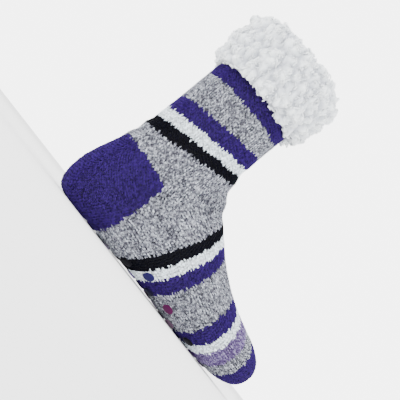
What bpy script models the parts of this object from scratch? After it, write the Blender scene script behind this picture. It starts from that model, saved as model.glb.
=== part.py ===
"""A slipper sock: a thick knitted sock as worn on a left foot, standing on its sole.

Metres, +Z up, +X to the toe, +Y to the wearer's left. The pieces are the knitted sock, made
whole from toe to top, the fleece cuff turned down over its top edge, and the rubber grip dots
printed under its sole. The origin is the middle of the underside of the box round all of them.
"""
import math

import bmesh
import bpy
import numpy as np
from mathutils import Vector

# Driving sizes of the knitted sock, measured outside
FOOT_LENGTH = 0.250
BALL_WIDTH = 0.098
HEEL_WIDTH = 0.070
HEEL_HEIGHT = 0.072      # floor to the top edge of the heel pocket, at the back
INSTEP_HEIGHT = 0.113    # floor to the bend between instep and leg
INSTEP_REACH = 0.019     # how far the instep's bend stands in front of the leg
SHAFT_WIDTH = 0.081
SHAFT_DEPTH = 0.085
SHAFT_HEIGHT = 0.217     # floor to the knitted top edge, inside the cuff
TENDON_HOLLOW = 0.0105   # how far the leg's back stands in from the back of the heel
TOE_SPRING = 0.026       # floor to the tip of the toe
TOE_SWAY = 0.007         # how far the toe leans to the inner side of the foot
KNIT_WALL = 0.0026

# Driving sizes of the fleece cuff
CUFF_HEIGHT = 0.056
CUFF_THICKNESS = 0.0125  # of the turned-down flap, from the knit outwards
CUFF_ROLL = 0.012        # pile standing above the knitted top edge
LINING_THICKNESS = 0.005
LINING_TUCK = 0.030      # how far the cuff's inner side reaches down inside the shaft
CURL_SIZE = 0.0150       # one clump of fleece
CURL_RELIEF = 0.0030

# Driving sizes of the grip dots
GRIP_DIAMETER = 0.010
GRIP_THICKNESS = 0.0010
GRIP_COLUMN_PITCH = 0.0232
GRIP_ROW_PITCH = 0.0178
GRIP_FIRST_ROW = 0.050   # back of the heel to the first row
GRIP_ROWS = (1, 2, 3, 4, 3, 4, 3, 4, 3, 2)

SEAT_GAP = 0.0003        # between faces that touch on the real sock
SOLE_CLEARANCE = GRIP_THICKNESS + SEAT_GAP  # the knit stands this high on its dots

# Facets
WALES = 40               # columns of facets round the knit, which has a ring for each section
ARC_SAMPLES = 240
GRIP_SIDES = 10
POINTS_PER_CLUMP = 4
FURROW_SHARE = 0.1       # height of the furrow between two rows of clumps

# Cross-sections from the toe to the front of the heel. sole_x is a share of FOOT_LENGTH, top_x
# of the way from the instep's bend to the toe, sole_z of TOE_SPRING above the dots' clearance
# and top_z of INSTEP_HEIGHT. The width is of_ball of BALL_WIDTH and of_heel of HEEL_WIDTH.
# sway is a share of TOE_SWAY, belly is how high up the section is widest, and flat is how
# much of the sole is pressed flat.
FOOT_SECTIONS = (
    # sole_x  top_x  sole_z  top_z  of_ball of_heel  sway  belly  flat
    (0.9995, 0.9997, 1.000, 0.232, 0.020, 0.00, -1.00, 0.50, 0.00),
    (0.9935, 0.9920, 0.700, 0.300, 0.270, 0.00, -0.98, 0.50, 0.00),
    (0.9780, 0.9700, 0.440, 0.352, 0.474, 0.00, -0.92, 0.49, 0.10),
    (0.9470, 0.9200, 0.245, 0.400, 0.686, 0.00, -0.80, 0.47, 0.30),
    (0.8960, 0.8350, 0.100, 0.438, 0.850, 0.00, -0.58, 0.45, 0.60),
    (0.8280, 0.7210, 0.022, 0.468, 0.952, 0.00, -0.30, 0.43, 0.90),
    (0.7520, 0.5980, 0.000, 0.501, 1.000, 0.00, -0.08, 0.42, 1.00),
    (0.6760, 0.4800, 0.000, 0.545, 0.960, 0.05, 0.12, 0.42, 1.00),
    (0.5980, 0.3640, 0.020, 0.603, 0.840, 0.15, 0.28, 0.42, 0.90),
    (0.5200, 0.2520, 0.062, 0.671, 0.680, 0.29, 0.36, 0.42, 0.75),
    (0.4360, 0.1500, 0.070, 0.746, 0.500, 0.46, 0.34, 0.42, 0.70),
    (0.3560, 0.0660, 0.040, 0.806, 0.300, 0.67, 0.24, 0.43, 0.80),
    (0.2800, 0.0200, 0.000, 0.840, 0.130, 0.88, 0.12, 0.43, 0.90),
    (0.2200, 0.0000, 0.000, 0.858, 0.030, 1.02, 0.04, 0.44, 0.95),
    (0.1720, -0.0140, 0.000, 0.874, 0.000, 1.05, 0.00, 0.45, 0.95),
)

# Round the heel. back_x is a share of FOOT_LENGTH, back_z of HEEL_HEIGHT, front_x of
# INSTEP_REACH in front of the leg, front_z of INSTEP_HEIGHT and width of HEEL_WIDTH. round
# is the superellipse exponent of the half towards the heel.
HEEL_SECTIONS = (
    # back_x back_z front_x front_z width belly flat  round
    (0.1240, 0.000, 0.830, 0.889, 1.040, 0.45, 0.90, 2.50),
    (0.0840, 0.000, 0.770, 0.903, 1.034, 0.44, 0.75, 2.62),
    (0.0460, 0.022, 0.700, 0.918, 1.030, 0.44, 0.40, 2.68),
    (0.0190, 0.104, 0.620, 0.933, 1.028, 0.44, 0.15, 2.66),
    (0.0040, 0.242, 0.535, 0.950, 1.028, 0.45, 0.00, 2.56),
    (0.0000, 0.410, 0.445, 0.969, 1.028, 0.46, 0.00, 2.42),
    (0.0060, 0.600, 0.350, 0.991, 1.028, 0.48, 0.00, 2.28),
    (0.0180, 0.800, 0.255, 1.018, 1.026, 0.49, 0.00, 2.16),
)

# Up the leg. back_x is a share of TENDON_HOLLOW and front_x of it in front of SHAFT_DEPTH,
# back_z is the share of the way from HEEL_HEIGHT to SHAFT_HEIGHT and front_z of the way from
# INSTEP_HEIGHT to it. The width is of_heel of HEEL_WIDTH and of_shaft of SHAFT_WIDTH.
LEG_SECTIONS = (
    # back_x back_z front_x front_z of_heel of_shaft
    (0.680, 0.000, 1.260, 0.058, 0.80, 0.198),
    (0.900, 0.125, 1.060, 0.112, 0.60, 0.376),
    (1.000, 0.235, 0.940, 0.184, 0.40, 0.560),
    (1.000, 0.355, 0.860, 0.286, 0.20, 0.754),
    (0.960, 0.475, 0.800, 0.400, 0.08, 0.880),
    (0.900, 0.605, 0.760, 0.532, 0.02, 0.958),
    (0.860, 0.735, 0.740, 0.678, 0.00, 0.988),
    (0.840, 0.870, 0.740, 0.838, 0.00, 0.997),
    (0.840, 1.000, 0.740, 1.000, 0.00, 1.000),
)

SOLE_ROUND = 2.35        # superellipse exponents of the foot's lower half, its upper half
UPPER_ROUND = 2.05       # and the back of the leg
LEG_ROUND = 2.10
FLAT_SHARE = 0.065       # how far past the floor a round sole would reach, as a share

COLOURS = {
    "knit": (0.150, 0.155, 0.185, 1.0),
    "fleece": (0.80, 0.82, 0.84, 1.0),
    "grip": (0.055, 0.030, 0.110, 1.0),
}
ROUGHNESS = {"knit": 0.95, "fleece": 1.0, "grip": 0.35}


def section_rows():
    """Every section: back x, back z, front x, front z, half width, sway, belly, flat, round."""
    bend_x = SHAFT_DEPTH + TENDON_HOLLOW + INSTEP_REACH
    rows = []
    for sole_x, top_x, sole_z, top_z, of_ball, of_heel, sway, belly, flat in FOOT_SECTIONS:
        sole = SOLE_CLEARANCE + sole_z * (TOE_SPRING - SOLE_CLEARANCE)
        rows.append((
            sole_x * FOOT_LENGTH,
            sole,
            bend_x + top_x * (FOOT_LENGTH - bend_x),
            max(top_z * INSTEP_HEIGHT, sole),
            (of_ball * BALL_WIDTH + of_heel * HEEL_WIDTH) / 2,
            sway * TOE_SWAY,
            belly,
            flat,
            SOLE_ROUND,
        ))
    for back_x, back_z, front_x, front_z, width, belly, flat, roundness in HEEL_SECTIONS:
        rows.append((
            back_x * FOOT_LENGTH,
            back_z * HEEL_HEIGHT,
            SHAFT_DEPTH + TENDON_HOLLOW + front_x * INSTEP_REACH,
            front_z * INSTEP_HEIGHT,
            width * HEEL_WIDTH / 2,
            0.0,
            belly,
            flat,
            roundness,
        ))
    for back_x, back_z, front_x, front_z, of_heel, of_shaft in LEG_SECTIONS:
        rows.append((
            back_x * TENDON_HOLLOW,
            HEEL_HEIGHT + back_z * (SHAFT_HEIGHT - HEEL_HEIGHT),
            SHAFT_DEPTH + front_x * TENDON_HOLLOW,
            INSTEP_HEIGHT + front_z * (SHAFT_HEIGHT - INSTEP_HEIGHT),
            (of_heel * HEEL_WIDTH + of_shaft * SHAFT_WIDTH) / 2,
            0.0,
            0.5,
            0.0,
            LEG_ROUND,
        ))
    return np.array(rows)


def monotone_slopes(values):
    """Slopes for a cubic through each column that never swings past its neighbours."""
    steps = np.diff(values, axis=0)
    slopes = np.zeros_like(values)
    before, after = steps[:-1], steps[1:]
    same_way = before * after > 0
    total = np.where(same_way, before + after, 1.0)
    slopes[1:-1] = np.where(same_way, 2 * before * after / total, 0.0)
    slopes[0], slopes[-1] = steps[0], steps[-1]
    return slopes


class Surface:
    """The outside of the knitted sock, as a function of place along it and round it."""

    def __init__(self):
        self.rows = section_rows()
        self.slopes = monotone_slopes(self.rows)
        self.last = len(self.rows) - 1

    def section(self, t):
        """The section's values at row number t, which need not be whole."""
        low = min(int(t), self.last - 1)
        u = t - low
        a, b = self.rows[low], self.rows[low + 1]
        sa, sb = self.slopes[low], self.slopes[low + 1]
        return (
            a * (1 + 2 * u) * (1 - u) ** 2
            + sa * u * (1 - u) ** 2
            + b * u * u * (3 - 2 * u)
            + sb * u * u * (u - 1)
        )

    def outline(self, t):
        """Closely spaced points of one cross-section, from the sole's middle round one half."""
        back_x, back_z, front_x, front_z, half, sway, belly, flat, roundness = self.section(t)
        angle = np.linspace(0, math.pi, ARC_SAMPLES)
        lower = angle < math.pi / 2
        power = np.where(lower, 2 / roundness, 2 / UPPER_ROUND)
        side = np.sin(angle) ** power * half
        rise = -np.sign(np.cos(angle)) * np.abs(np.cos(angle)) ** power
        deeper = 1 + FLAT_SHARE * flat
        share = np.where(lower, belly + belly * np.maximum(rise * deeper, -1), belly + (1 - belly) * rise)
        x = back_x + share * (front_x - back_x)
        z = np.maximum(back_z + share * (front_z - back_z), 0.0)
        return np.stack([x, side, z], axis=1), sway

    def half_ring(self, t, arcs):
        """Points at these arc lengths (metres from the sole's middle) on one half of a section."""
        points, sway = self.outline(t)
        lengths = np.linalg.norm(np.diff(points, axis=0), axis=1)
        reach = np.concatenate([[0.0], np.cumsum(lengths)])
        placed = np.stack([np.interp(arcs, reach, points[:, k]) for k in range(3)], axis=1)
        return placed, sway, reach[-1]

    def ring(self, t, count):
        """A whole section as evenly spaced points, from the sole's middle round by the right."""
        total = self.half_ring(t, [0.0])[2]
        half, sway, _ = self.half_ring(t, np.linspace(0, total, count // 2 + 1))
        right = half * [1, -1, 1]
        left = half[-2:0:-1]
        ring = np.concatenate([right, left])
        ring[:, 1] += sway
        return ring

    def row_at_sole(self, x):
        """The row number whose section leaves the sole at this distance from the heel."""
        low, high = 0.0, float(len(FOOT_SECTIONS))
        for _ in range(40):
            middle = (low + high) / 2
            if self.section(middle)[0] > x:
                low = middle
            else:
                high = middle
        return (low + high) / 2

    def sole_point(self, x, across):
        """The point of the sole at x from the heel and this arc length from its middle line."""
        t = self.row_at_sole(x)
        point, sway, _ = self.half_ring(t, [abs(across)])
        side = 1 if across > 0 else -1
        return Vector((point[0, 0], side * point[0, 1] + sway, point[0, 2]))

    def sole_normal(self, x, across):
        """The outward direction there."""
        step = 0.1 * GRIP_DIAMETER
        along = self.sole_point(x + step, across) - self.sole_point(x - step, across)
        over = self.sole_point(x, across + step) - self.sole_point(x, across - step)
        return over.cross(along).normalized()

    def leg_ring(self, z, count, offset):
        """A section of the leg at mean height z, as count points moved outwards by offset."""
        low, high = float(self.last - len(LEG_SECTIONS) + 1), float(self.last)
        for _ in range(40):
            middle = (low + high) / 2
            back, front = self.section(middle)[[1, 3]]
            if (back + front) / 2 < z:
                low = middle
            else:
                high = middle
        ring = self.ring((low + high) / 2, count)
        along = np.roll(ring, -1, axis=0) - np.roll(ring, 1, axis=0)
        outward = np.stack([along[:, 1], -along[:, 0]], axis=1)
        outward /= np.linalg.norm(outward, axis=1)[:, None]
        centre = ring[:, :2].mean(axis=0)
        outward *= np.sign(((ring[:, :2] - centre) * outward).sum(axis=1))[:, None]
        ring[:, :2] += outward * np.broadcast_to(offset, count)[:, None]
        ring[:, 2] += z - (self.section((low + high) / 2)[[1, 3]]).mean()
        return ring


def loft(name, rings, closed_ends, closed_loop=False):
    """A mesh through rings of equal count. closed_ends says which ends get a fan of faces."""
    mesh = bmesh.new()
    loops = [[mesh.verts.new(p) for p in ring] for ring in rings]
    pairs = list(zip(loops, loops[1:]))
    if closed_loop:
        pairs.append((loops[-1], loops[0]))
    for first, second in pairs:
        count = len(first)
        for i in range(count):
            j = (i + 1) % count
            mesh.faces.new((first[i], first[j], second[j], second[i]))
    for end, loop in zip(closed_ends, (loops[0], loops[-1])):
        if end:
            tip = mesh.verts.new(sum((v.co for v in loop), Vector()) / len(loop))
            for i in range(len(loop)):
                mesh.faces.new((loop[i], loop[(i + 1) % len(loop)], tip))
    bmesh.ops.recalc_face_normals(mesh, faces=mesh.faces)
    data = bpy.data.meshes.new(name)
    mesh.to_mesh(data)
    mesh.free()
    data.shade_smooth()
    return bpy.data.objects.new(name, data)


def material(kind):
    """One plain material for each kind of stuff."""
    made = bpy.data.materials.get(kind) or bpy.data.materials.new(kind)
    made.use_nodes = True
    shader = made.node_tree.nodes["Principled BSDF"]
    shader.inputs["Base Color"].default_value = COLOURS[kind]
    shader.inputs["Roughness"].default_value = ROUGHNESS[kind]
    shader.inputs["Metallic"].default_value = 0.0
    return made


def knit_sock(surface):
    """Toe, foot, heel pocket and leg, knitted whole and open at the top."""
    rings = [surface.ring(row, WALES) for row in range(surface.last + 1)]
    sock = loft("knit_sock", rings, closed_ends=(True, False))
    wall = sock.modifiers.new("wall", "SOLIDIFY")
    wall.thickness = KNIT_WALL
    wall.offset = -1
    wall.use_even_offset = True
    sock.data.materials.append(material("knit"))
    return sock


def cuff_profile():
    """The cuff's cut face as (distance outside the knit, height, curliness), all round it."""
    top = SHAFT_HEIGHT
    hem = top + CUFF_ROLL - CUFF_HEIGHT
    inside = -KNIT_WALL - SEAT_GAP
    pile_in = inside - LINING_THICKNESS
    out = CUFF_THICKNESS
    middle = (hem + top) / 2
    return (
        (SEAT_GAP, hem + 0.05 * CUFF_HEIGHT, 0.0),
        (SEAT_GAP, middle, 0.0),
        (SEAT_GAP, top + SEAT_GAP, 0.0),
        (inside, top + SEAT_GAP, 0.0),
        (inside, top - LINING_TUCK, 0.0),
        (pile_in, top - LINING_TUCK, 0.0),
        (pile_in, top - 0.5 * LINING_TUCK, 0.5),
        (1.10 * pile_in, top + 0.10 * CUFF_ROLL, 1.0),
        (0.80 * pile_in, top + 0.62 * CUFF_ROLL, 1.0),
        (0.25 * pile_in, top + 0.94 * CUFF_ROLL, 1.0),
        (0.28 * out, top + 0.98 * CUFF_ROLL, 1.0),
        (0.66 * out, top + 0.72 * CUFF_ROLL, 1.0),
        (0.92 * out, top + 0.10 * CUFF_ROLL, 1.0),
        (1.00 * out, top - 0.14 * CUFF_HEIGHT, 1.0),
        (1.02 * out, top - 0.28 * CUFF_HEIGHT, 1.0),
        (1.00 * out, top - 0.42 * CUFF_HEIGHT, 1.0),
        (0.95 * out, top - 0.55 * CUFF_HEIGHT, 1.0),
        (0.84 * out, hem + 0.13 * CUFF_HEIGHT, 1.0),
        (0.60 * out, hem + 0.03 * CUFF_HEIGHT, 1.0),
        (0.30 * out, hem, 0.6),
    )


def sherpa_cuff(surface):
    """The fleece lining turned down over the top edge, its clumps fused into one ring."""
    rim = surface.leg_ring(SHAFT_HEIGHT, 2 * WALES, CUFF_THICKNESS)
    girth = np.linalg.norm(rim - np.roll(rim, 1, axis=0), axis=1).sum()
    clumps = round(girth / CURL_SIZE)
    sides = POINTS_PER_CLUMP * clumps
    angle = 2 * math.pi * clumps * np.arange(sides) / sides
    rings = []
    for row, (off, z, curl) in enumerate(cuff_profile()):
        stagger = math.pi * (row // 2 % 2)
        lump = np.abs(np.sin((angle + stagger) / 2)) if row % 2 else np.full(sides, FURROW_SHARE)
        reach = off + math.copysign(CURL_RELIEF, off) * curl * (lump - 0.5)
        rings.append(surface.leg_ring(z, sides, reach))
    cuff = loft("sherpa_cuff", rings, closed_ends=(False, False), closed_loop=True)
    cuff.data.materials.append(material("fleece"))
    return cuff


def grip_places():
    """Where each grip dot sits: its distance from the heel and from the sole's middle line."""
    for row, count in enumerate(GRIP_ROWS):
        x = GRIP_FIRST_ROW + row * GRIP_ROW_PITCH
        for column in range(count):
            yield x, (column - (count - 1) / 2) * GRIP_COLUMN_PITCH


def grip_dot(surface, number, x, across):
    """A printed dot: a thin rubber disc with a soft rim that follows the curve of the sole."""
    radius = GRIP_DIAMETER / 2
    seat, rim, crown = SEAT_GAP, SEAT_GAP + 0.45 * GRIP_THICKNESS, SEAT_GAP + GRIP_THICKNESS
    rings = []
    for share, lift in ((0.55, seat), (1.0, seat), (1.0, rim), (0.74, crown)):
        ring = []
        for k in range(GRIP_SIDES):
            angle = 2 * math.pi * k / GRIP_SIDES
            px = x + share * radius * math.cos(angle)
            pa = across + share * radius * math.sin(angle)
            point = surface.sole_point(px, pa) + surface.sole_normal(px, pa) * lift
            point.z = max(point.z, 0.0)
            ring.append(point)
        rings.append(ring)
    dot = loft(f"grip_dot_{number:02d}", rings, closed_ends=(True, True))
    dot.data.materials.append(material("grip"))
    return dot


def stand_on_origin(pieces):
    """Moves every piece so that the origin is under the middle of the box round them all."""
    corners = [v.co for piece in pieces for v in piece.data.vertices]
    middle = Vector((
        (min(c.x for c in corners) + max(c.x for c in corners)) / 2,
        (min(c.y for c in corners) + max(c.y for c in corners)) / 2,
        min(c.z for c in corners),
    ))
    for piece in pieces:
        for vertex in piece.data.vertices:
            vertex.co -= middle


def main():
    for old in list(bpy.data.objects):
        bpy.data.objects.remove(old)
    home = bpy.data.collections.new("slipper_sock")
    bpy.context.scene.collection.children.link(home)
    surface = Surface()
    pieces = [knit_sock(surface), sherpa_cuff(surface)]
    for number, (x, across) in enumerate(grip_places(), start=1):
        pieces.append(grip_dot(surface, number, x, across))
    stand_on_origin(pieces)
    for piece in pieces:
        home.objects.link(piece)


main()
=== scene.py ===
"""The looks of the slipper sock: striped fuzzy knit, fleece cuff and lining, silicone dots.

Metres, in the frame of the solids. The shape of the foot and leg is worked out from the same
named sizes and sections as the solids, in a heel frame whose x is 0 at the back of the heel.
"""

import math

import bpy
import numpy as np
from mathutils import Matrix, Vector


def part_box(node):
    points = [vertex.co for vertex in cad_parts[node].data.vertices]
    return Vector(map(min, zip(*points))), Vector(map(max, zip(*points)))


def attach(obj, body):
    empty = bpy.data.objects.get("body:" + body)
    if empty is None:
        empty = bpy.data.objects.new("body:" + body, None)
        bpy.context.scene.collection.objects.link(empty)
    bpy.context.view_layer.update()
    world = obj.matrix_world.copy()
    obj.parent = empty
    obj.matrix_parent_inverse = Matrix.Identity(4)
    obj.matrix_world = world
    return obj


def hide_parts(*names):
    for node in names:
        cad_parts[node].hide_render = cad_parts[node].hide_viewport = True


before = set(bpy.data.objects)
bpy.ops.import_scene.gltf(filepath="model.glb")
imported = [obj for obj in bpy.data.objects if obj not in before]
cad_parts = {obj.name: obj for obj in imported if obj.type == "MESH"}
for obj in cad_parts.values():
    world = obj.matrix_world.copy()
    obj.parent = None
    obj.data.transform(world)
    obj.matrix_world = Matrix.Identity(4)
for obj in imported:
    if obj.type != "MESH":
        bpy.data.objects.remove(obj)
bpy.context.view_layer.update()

# The sizes of the knitted sock, measured outside
FOOT_LENGTH = 0.250
BALL_WIDTH = 0.098
HEEL_WIDTH = 0.070
HEEL_HEIGHT = 0.072
INSTEP_HEIGHT = 0.113
INSTEP_REACH = 0.019
SHAFT_WIDTH = 0.081
SHAFT_DEPTH = 0.085
SHAFT_HEIGHT = 0.217
TENDON_HOLLOW = 0.0105
TOE_SPRING = 0.026
TOE_SWAY = 0.007
KNIT_WALL = 0.0026

# The sizes of the fleece cuff
CUFF_HEIGHT = 0.056
CUFF_THICKNESS = 0.0125
CUFF_ROLL = 0.012
LINING_THICKNESS = 0.005
LINING_TUCK = 0.030

# The sizes of the grip dots
GRIP_DIAMETER = 0.010
GRIP_THICKNESS = 0.0010
GRIP_COLUMN_PITCH = 0.0232
GRIP_ROW_PITCH = 0.0178
GRIP_FIRST_ROW = 0.050
GRIP_ROWS = (1, 2, 3, 4, 3, 4, 3, 4, 3, 2)

SEAT_GAP = 0.0003
SOLE_CLEARANCE = GRIP_THICKNESS + SEAT_GAP

# Cross-sections from the toe to the front of the heel, as in the solids
FOOT_SECTIONS = (
    # sole_x  top_x  sole_z  top_z  of_ball of_heel  sway  belly  flat
    (0.9995, 0.9997, 1.000, 0.232, 0.020, 0.00, -1.00, 0.50, 0.00),
    (0.9935, 0.9920, 0.700, 0.300, 0.270, 0.00, -0.98, 0.50, 0.00),
    (0.9780, 0.9700, 0.440, 0.352, 0.474, 0.00, -0.92, 0.49, 0.10),
    (0.9470, 0.9200, 0.245, 0.400, 0.686, 0.00, -0.80, 0.47, 0.30),
    (0.8960, 0.8350, 0.100, 0.438, 0.850, 0.00, -0.58, 0.45, 0.60),
    (0.8280, 0.7210, 0.022, 0.468, 0.952, 0.00, -0.30, 0.43, 0.90),
    (0.7520, 0.5980, 0.000, 0.501, 1.000, 0.00, -0.08, 0.42, 1.00),
    (0.6760, 0.4800, 0.000, 0.545, 0.960, 0.05, 0.12, 0.42, 1.00),
    (0.5980, 0.3640, 0.020, 0.603, 0.840, 0.15, 0.28, 0.42, 0.90),
    (0.5200, 0.2520, 0.062, 0.671, 0.680, 0.29, 0.36, 0.42, 0.75),
    (0.4360, 0.1500, 0.070, 0.746, 0.500, 0.46, 0.34, 0.42, 0.70),
    (0.3560, 0.0660, 0.040, 0.806, 0.300, 0.67, 0.24, 0.43, 0.80),
    (0.2800, 0.0200, 0.000, 0.840, 0.130, 0.88, 0.12, 0.43, 0.90),
    (0.2200, 0.0000, 0.000, 0.858, 0.030, 1.02, 0.04, 0.44, 0.95),
    (0.1720, -0.0140, 0.000, 0.874, 0.000, 1.05, 0.00, 0.45, 0.95),
)
HEEL_SECTIONS = (
    # back_x back_z front_x front_z width belly flat  round
    (0.1240, 0.000, 0.830, 0.889, 1.040, 0.45, 0.90, 2.50),
    (0.0840, 0.000, 0.770, 0.903, 1.034, 0.44, 0.75, 2.62),
    (0.0460, 0.022, 0.700, 0.918, 1.030, 0.44, 0.40, 2.68),
    (0.0190, 0.104, 0.620, 0.933, 1.028, 0.44, 0.15, 2.66),
    (0.0040, 0.242, 0.535, 0.950, 1.028, 0.45, 0.00, 2.56),
    (0.0000, 0.410, 0.445, 0.969, 1.028, 0.46, 0.00, 2.42),
    (0.0060, 0.600, 0.350, 0.991, 1.028, 0.48, 0.00, 2.28),
    (0.0180, 0.800, 0.255, 1.018, 1.026, 0.49, 0.00, 2.16),
)
LEG_SECTIONS = (
    # back_x back_z front_x front_z of_heel of_shaft
    (0.680, 0.000, 1.260, 0.058, 0.80, 0.198),
    (0.900, 0.125, 1.060, 0.112, 0.60, 0.376),
    (1.000, 0.235, 0.940, 0.184, 0.40, 0.560),
    (1.000, 0.355, 0.860, 0.286, 0.20, 0.754),
    (0.960, 0.475, 0.800, 0.400, 0.08, 0.880),
    (0.900, 0.605, 0.760, 0.532, 0.02, 0.958),
    (0.860, 0.735, 0.740, 0.678, 0.00, 0.988),
    (0.840, 0.870, 0.740, 0.838, 0.00, 0.997),
    (0.840, 1.000, 0.740, 1.000, 0.00, 1.000),
)
SOLE_ROUND = 2.35
UPPER_ROUND = 2.05
LEG_ROUND = 2.10
FLAT_DEPTH = 0.065         # how far past the floor a round sole would reach, as a share
ARC_SAMPLES = 160

# The ground of the knit, and the fleece inside it
GROUND_SPACING = 0.0017    # between the rows of points of the ground
MEASURING_ROWS = 40        # rows to each section, and columns, for measuring along the sock
MEASURING_COLUMNS = 16
SKIN_DEPTH = 0.00115       # of the ground that the stitches stand on
LINING_DEPTH = 0.0030      # of the inner fleece under the outer surface
LINING_RELIEF = 0.0035     # of the clumps of the inner fleece
LINING_CLUMPS = (0.0080, 0.0110, 9)  # size round the leg, size along it, seed
LINING_LOW = 0.045         # up to this height the clumps lie flat
LINING_FADE = 0.030        # and over this much more they rise
FLOOR_GAP = 0.0001         # the least height of the knit

# The stitches
WALES = 112                # columns of stitches round the sock
COURSE_PITCH = 0.0027      # one stitch along its column
COURSE_STAGGER = 0.075     # of every other column, in stitches
FIRST_COURSE = 0.3         # where a column's first stitch sits, in stitches
COURSE_SPREAD = 0.10       # how unevenly stitches follow each other, in stitches
PATH_SPACING = 0.0008      # between the points of the line that a column follows
PATH_END = 0.0002          # how far before the end of that line the last stitch sits at most
PATH_PROBE = 0.001         # how far to either side of a stitch its direction is read
LEG_WIDTH = 0.00135        # of one side of a stitch's V
LEG_HEIGHT = 0.00120
LEG_LENGTH = 1.4           # in stitches
LEG_SLANT = 0.00035        # how far each side of the V leans out over its length
LEG_DEPTH = 0.00045        # of the middle of a stitch's side under the sock's outer surface
LENGTH_SPREAD = 0.2
SIZE_SPREAD = 0.12
DEPTH_SPREAD = 0.00012
SLANT_SPREAD = 0.00022
SQUEEZE = 0.85             # the narrowest that a side gets where columns crowd, as a share
SQUEEZE_MOST = 1.15
CROWDED = 0.7              # where columns are closer than this share, stitches are left out
LEG_POINTS = (
    # share of the length, how deep it sinks
    (-0.5, 0.0007),
    (0.5, 0.0005),
)
LEG_RINGS = (-0.2, 0.2)    # shares of the length where a side is widest
TOE_TURN = 0.225           # from here the wales turn to run over the tip of the toe
STITCH_ZONES = (-0.115, 0.030, 0.135)  # where the pieces of stitches part, on the stripe scale
STITCH_PIECES = ("shaft_stitches", "heel_stitches", "midfoot_stitches", "toe_stitches")

# Stripes of the foot, from the toe backwards: where each begins, from the back of the heel
FOOT_STRIPES = (
    (0.2500, "purple"),
    (0.2180, "grey"),
    (0.2035, "lilac"),
    (0.1890, "white"),
    (0.1780, "purple"),
    (0.1628, "grey"),
    (0.1234, "purple"),
    (0.1077, "white"),
    (0.0965, "black"),
    (0.0810, "grey"),
)
# Stripes of the leg, upwards: the heights where each begins, behind and in front
LEG_STRIPES = (
    (0.0900, 0.1165, "black"),
    (0.1035, 0.1275, "white"),
    (0.1150, 0.1350, "purple"),
    (0.1290, 0.1480, "grey"),
    (0.1590, 0.1645, "purple"),
)
HEEL_MARL = 0.05           # how far below them the heights still count, over the grey of the heel
STRIPE_TEETH = 0.0008      # how far single stitches reach over a stripe's edge
POCKET_FRONT = 0.0510      # the purple heel pocket ends here, measured from the back
POCKET_TOP = 0.0725        # its top edge at the back of the heel
POCKET_FALL = 0.10         # how much that edge drops for each metre forwards
BAND_REACH = 0.250         # the stripe scale runs from minus this, at the cuff, to this at the toe

# Soft folds, seen from the side: a line from its start, in front or behind, in over the flank
CREASES = (
    # x       z   heading reach  width  depth
    (0.112, 0.116, 205, 0.050, 0.0056, 0.0011),
    (0.106, 0.131, 190, 0.044, 0.0050, 0.0008),
    (0.122, 0.103, 222, 0.046, 0.0052, 0.0007),
    (0.006, 0.084, -12, 0.034, 0.0046, 0.0008),
    (0.008, 0.098, 4, 0.026, 0.0042, 0.0005),
)
CREASE_LEAD = 0.02         # how far before its start a fold still shows
CREASE_RIDGE = 0.45        # height of the ridges beside it, as a share of its depth

# Yarn colours. Marl yarn covers the colour where its share is 1
KNIT_COLOURS = {
    # colour, share of marl yarn
    "purple": ((0.0170, 0.0058, 0.0690), 0.0),
    "grey": ((0.110, 0.112, 0.135), 1.0),
    "black": ((0.0008, 0.0009, 0.0032), 0.0),
    "white": ((0.600, 0.655, 0.700), 0.0),
    "lilac": ((0.092, 0.042, 0.182), 0.35),
}
MARL = (
    # share of the yarn up to here, colour
    (0.00, (0.020, 0.019, 0.030)),
    (0.30, (0.050, 0.049, 0.067)),
    (0.50, (0.104, 0.105, 0.132)),
    (0.70, (0.230, 0.239, 0.275)),
    (1.00, (0.450, 0.480, 0.520)),
)
MARL_GRAIN = 1100.0        # specks of the marl yarn to the metre
MARL_SPECKS = 2.8          # how strongly the specks and the stitches' flecks count in it
MARL_FLECKS = 0.8
MARL_OFFSET = -1.3
FIBRE_GRAIN = 900.0
TONE_CONTRAST = 1.25       # how strongly flecks and fibres lighten and darken any yarn
TONE_OFFSET = -0.25
GROUND_PAINTED_SHADE = 0.55        # painted shade: the ground between the stitches is darker, as a share of the yarn's tone
STITCH_FLECK = 0.72        # how much flecks differ along a stitch,
WALE_FLECK = 0.16          # from column to column,
V_SIDE_PAINTED_SHADE = 0.12          # and between the two sides of a V, painted shade that makes one side of each V darker

# Fleece colours: its own white on the crests, and painted shade, cooler and darker, in the hollows of
# its clumps
FLEECE = (0.815, 0.855, 0.870)
CUFF_HOLLOW_SHADE = (0.400, 0.420, 0.475)
LINING_HOLLOW_SHADE = (0.720, 0.740, 0.760)
FLEECE_CREST = 0.7         # from here up the fleece has its crest's colour, its own white; below, painted shade darkens it towards the hollows

# The cuff's surface
CUFF_SIDES = 400           # points round the leg
CUFF_ROUNDS = 132          # points round the cut face
CUFF_RELIEF = (
    # round the leg, along the fleece, relief, its middle, share of the painted shade, seed
    (0.0150, 0.0190, 0.0042, 0.50, 0.40, 7),
    (0.0068, 0.0100, 0.0034, 0.45, 0.45, 5),
    (0.0029, 0.0042, 0.0012, 0.50, 0.15, 6),
)
# How freely the pile stands, by the distance round the cut face from the hem's inner edge
FREE_PILE = ((0.0, 0.0), (0.050, 0.0), (0.085, 0.15), (0.092, 1.0))
CELL_ROWS = 64             # before the pattern of clumps repeats along the fleece
CELL_EDGE = 0.7            # how wide the furrows between clumps are

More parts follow.
